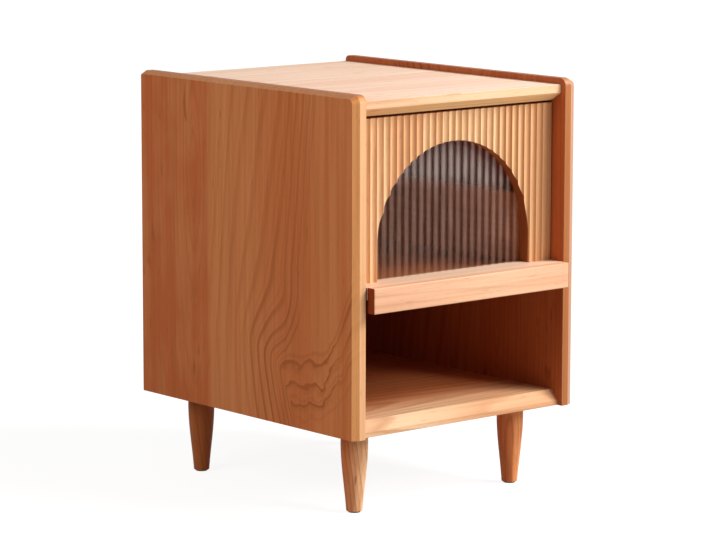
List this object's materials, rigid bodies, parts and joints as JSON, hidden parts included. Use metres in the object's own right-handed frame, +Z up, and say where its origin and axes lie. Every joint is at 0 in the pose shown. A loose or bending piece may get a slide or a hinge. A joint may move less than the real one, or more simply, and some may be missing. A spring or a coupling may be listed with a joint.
{
  "type": "nightstand",
  "caption": "Cherry wood nightstand with an open compartment, turned legs and a drawer whose fluted front has an arched reeded glass window and a lip to pull it by.",
  "frame": {"origin": "on the floor under the middle of the whole object, lip included", "axes": "+Z up, -Y to the front where the drawer pulls out, +X to the right seen from the front"},
  "size_m": [0.35, 0.422, 0.5],
  "materials": {
    "cherry_wood": "satin oiled cherry, warm red-brown with flowing grain",
    "drawer_wood": "satin pale hardwood",
    "plywood": "satin cherry veneer",
    "dowel_wood": "plain turned beech",
    "reeded_glass": "clear reeded glass, slightly grey",
    "rail_steel": "bright zinc plate",
    "cage_steel": "plain strip steel",
    "ball_steel": "polished steel",
    "screw_steel": "zinc plate",
    "insert_brass": "plain brass",
    "glide_nylon": "brown nylon"
  },
  "bodies": {
    "cabinet": {"side_panel_left": "cherry_wood", "side_panel_right": "cherry_wood", "top_panel": "cherry_wood", "bottom_panel": "cherry_wood", "leg_front_left": "cherry_wood", "leg_front_right": "cherry_wood", "leg_back_left": "cherry_wood", "leg_back_right": "cherry_wood", "back_panel": "plywood", "cabinet_dowels": "dowel_wood", "slide_cabinet_rail_left": "rail_steel", "slide_cabinet_rail_right": "rail_steel", "back_panel_screws": "screw_steel", "slide_cabinet_screws": "screw_steel", "leg_hanger_bolts": "screw_steel", "leg_insert_nuts": "insert_brass", "leg_glides": "glide_nylon"},
    "drawer": {"fluted_front": "cherry_wood", "reeded_glass": "reeded_glass", "glass_bead_left": "drawer_wood", "glass_bead_right": "drawer_wood", "glass_bead_top": "drawer_wood", "glass_bead_pins": "screw_steel", "drawer_sill": "cherry_wood", "sill_screws": "screw_steel", "pull_lip": "cherry_wood", "pull_lip_dowels": "dowel_wood", "drawer_front_dowels": "dowel_wood", "drawer_side_left": "drawer_wood", "drawer_side_right": "drawer_wood", "drawer_back": "drawer_wood", "drawer_back_screws": "screw_steel", "drawer_bottom": "plywood", "drawer_bottom_screws": "screw_steel", "slide_drawer_rail_left": "rail_steel", "slide_drawer_rail_right": "rail_steel", "slide_drawer_screws": "screw_steel"},
    "middle_rails": {"slide_middle_rail_left": "rail_steel", "slide_middle_rail_right": "rail_steel"},
    "outer_ball_cages": {"slide_outer_cage_left": "cage_steel", "slide_outer_cage_right": "cage_steel", "slide_outer_balls_left": "ball_steel", "slide_outer_balls_right": "ball_steel"},
    "inner_ball_cages": {"slide_inner_cage_left": "cage_steel", "slide_inner_cage_right": "cage_steel", "slide_inner_balls_left": "ball_steel", "slide_inner_balls_right": "ball_steel"}
  },
  "joints": [
    {"name": "drawer_slide", "type": "slide", "parent": "cabinet", "child": "drawer", "axis": [0, -1, 0], "range_m": [0, 0.3]},
    {"name": "middle_rails_slide", "type": "slide", "parent": "cabinet", "child": "middle_rails", "axis": [0, -1, 0], "range_m": [0, 0.15]},
    {"name": "outer_ball_cages_slide", "type": "slide", "parent": "cabinet", "child": "outer_ball_cages", "axis": [0, -1, 0], "range_m": [0, 0.075]},
    {"name": "inner_ball_cages_slide", "type": "slide", "parent": "cabinet", "child": "inner_ball_cages", "axis": [0, -1, 0], "range_m": [0, 0.225]}
  ],
  "couplings": [
    {"joint": "middle_rails_slide", "follows": "drawer_slide", "ratio": 0.5},
    {"joint": "outer_ball_cages_slide", "follows": "drawer_slide", "ratio": 0.25},
    {"joint": "inner_ball_cages_slide", "follows": "drawer_slide", "ratio": 0.75}
  ]
}
